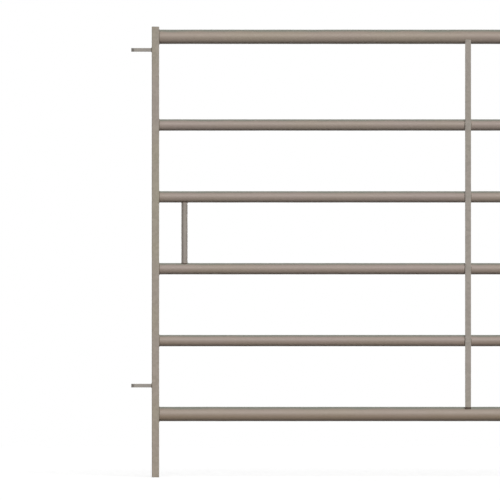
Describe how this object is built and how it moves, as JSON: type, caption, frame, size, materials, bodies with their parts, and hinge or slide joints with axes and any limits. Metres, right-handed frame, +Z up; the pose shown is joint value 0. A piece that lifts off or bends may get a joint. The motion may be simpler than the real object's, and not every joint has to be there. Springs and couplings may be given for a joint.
{
  "type": "cattle hurdle",
  "caption": "Portable welded cattle hurdle of galvanised tube: round rails between two box-section posts, a flat bar stay, grip bars, and drilled lugs with a lift-out drop pin.",
  "frame": {"origin": "on the ground, midway between the two posts along the rails and in the rails' plane", "axes": "+X along the rails towards the end with the drop pin, +Z up, front with the stay faces -Y"},
  "size_m": [2.2776, 0.11, 1.524],
  "materials": {
    "galvanised_section": "weathered hot-dip galvanised, matt, faint spangle",
    "galvanised_tube": "weathered hot-dip galvanised, matt, faint spangle",
    "galvanised_bar": "weathered hot-dip galvanised, matt",
    "galvanised_pin": "hot-dip galvanised, rubbed by use",
    "weld_metal": "rippled weld bead under the zinc, darker and rougher"
  },
  "bodies": {
    "hurdle_frame": {"left_post": "galvanised_section", "right_post": "galvanised_section", "top_rail": "galvanised_tube", "second_rail": "galvanised_tube", "third_rail": "galvanised_tube", "fourth_rail": "galvanised_tube", "fifth_rail": "galvanised_tube", "bottom_rail": "galvanised_tube", "left_grip_bar": "galvanised_tube", "right_grip_bar": "galvanised_tube", "centre_stay": "galvanised_bar", "left_upper_lug": "galvanised_bar", "left_lower_lug": "galvanised_bar", "right_upper_lug": "galvanised_bar", "right_lower_lug": "galvanised_bar", "left_rail_welds": "weld_metal", "right_rail_welds": "weld_metal", "stay_welds": "weld_metal", "left_grip_welds": "weld_metal", "right_grip_welds": "weld_metal", "left_lug_welds": "weld_metal", "right_lug_welds": "weld_metal"},
    "drop_pin": {"link_pin": "galvanised_pin", "pin_handle": "galvanised_pin", "pin_handle_welds": "weld_metal"}
  },
  "joints": [
    {"name": "pin_lift", "type": "slide", "parent": "hurdle_frame", "child": "drop_pin", "axis": [0, 0, 1], "range_m": [0, 1.22]}
  ]
}
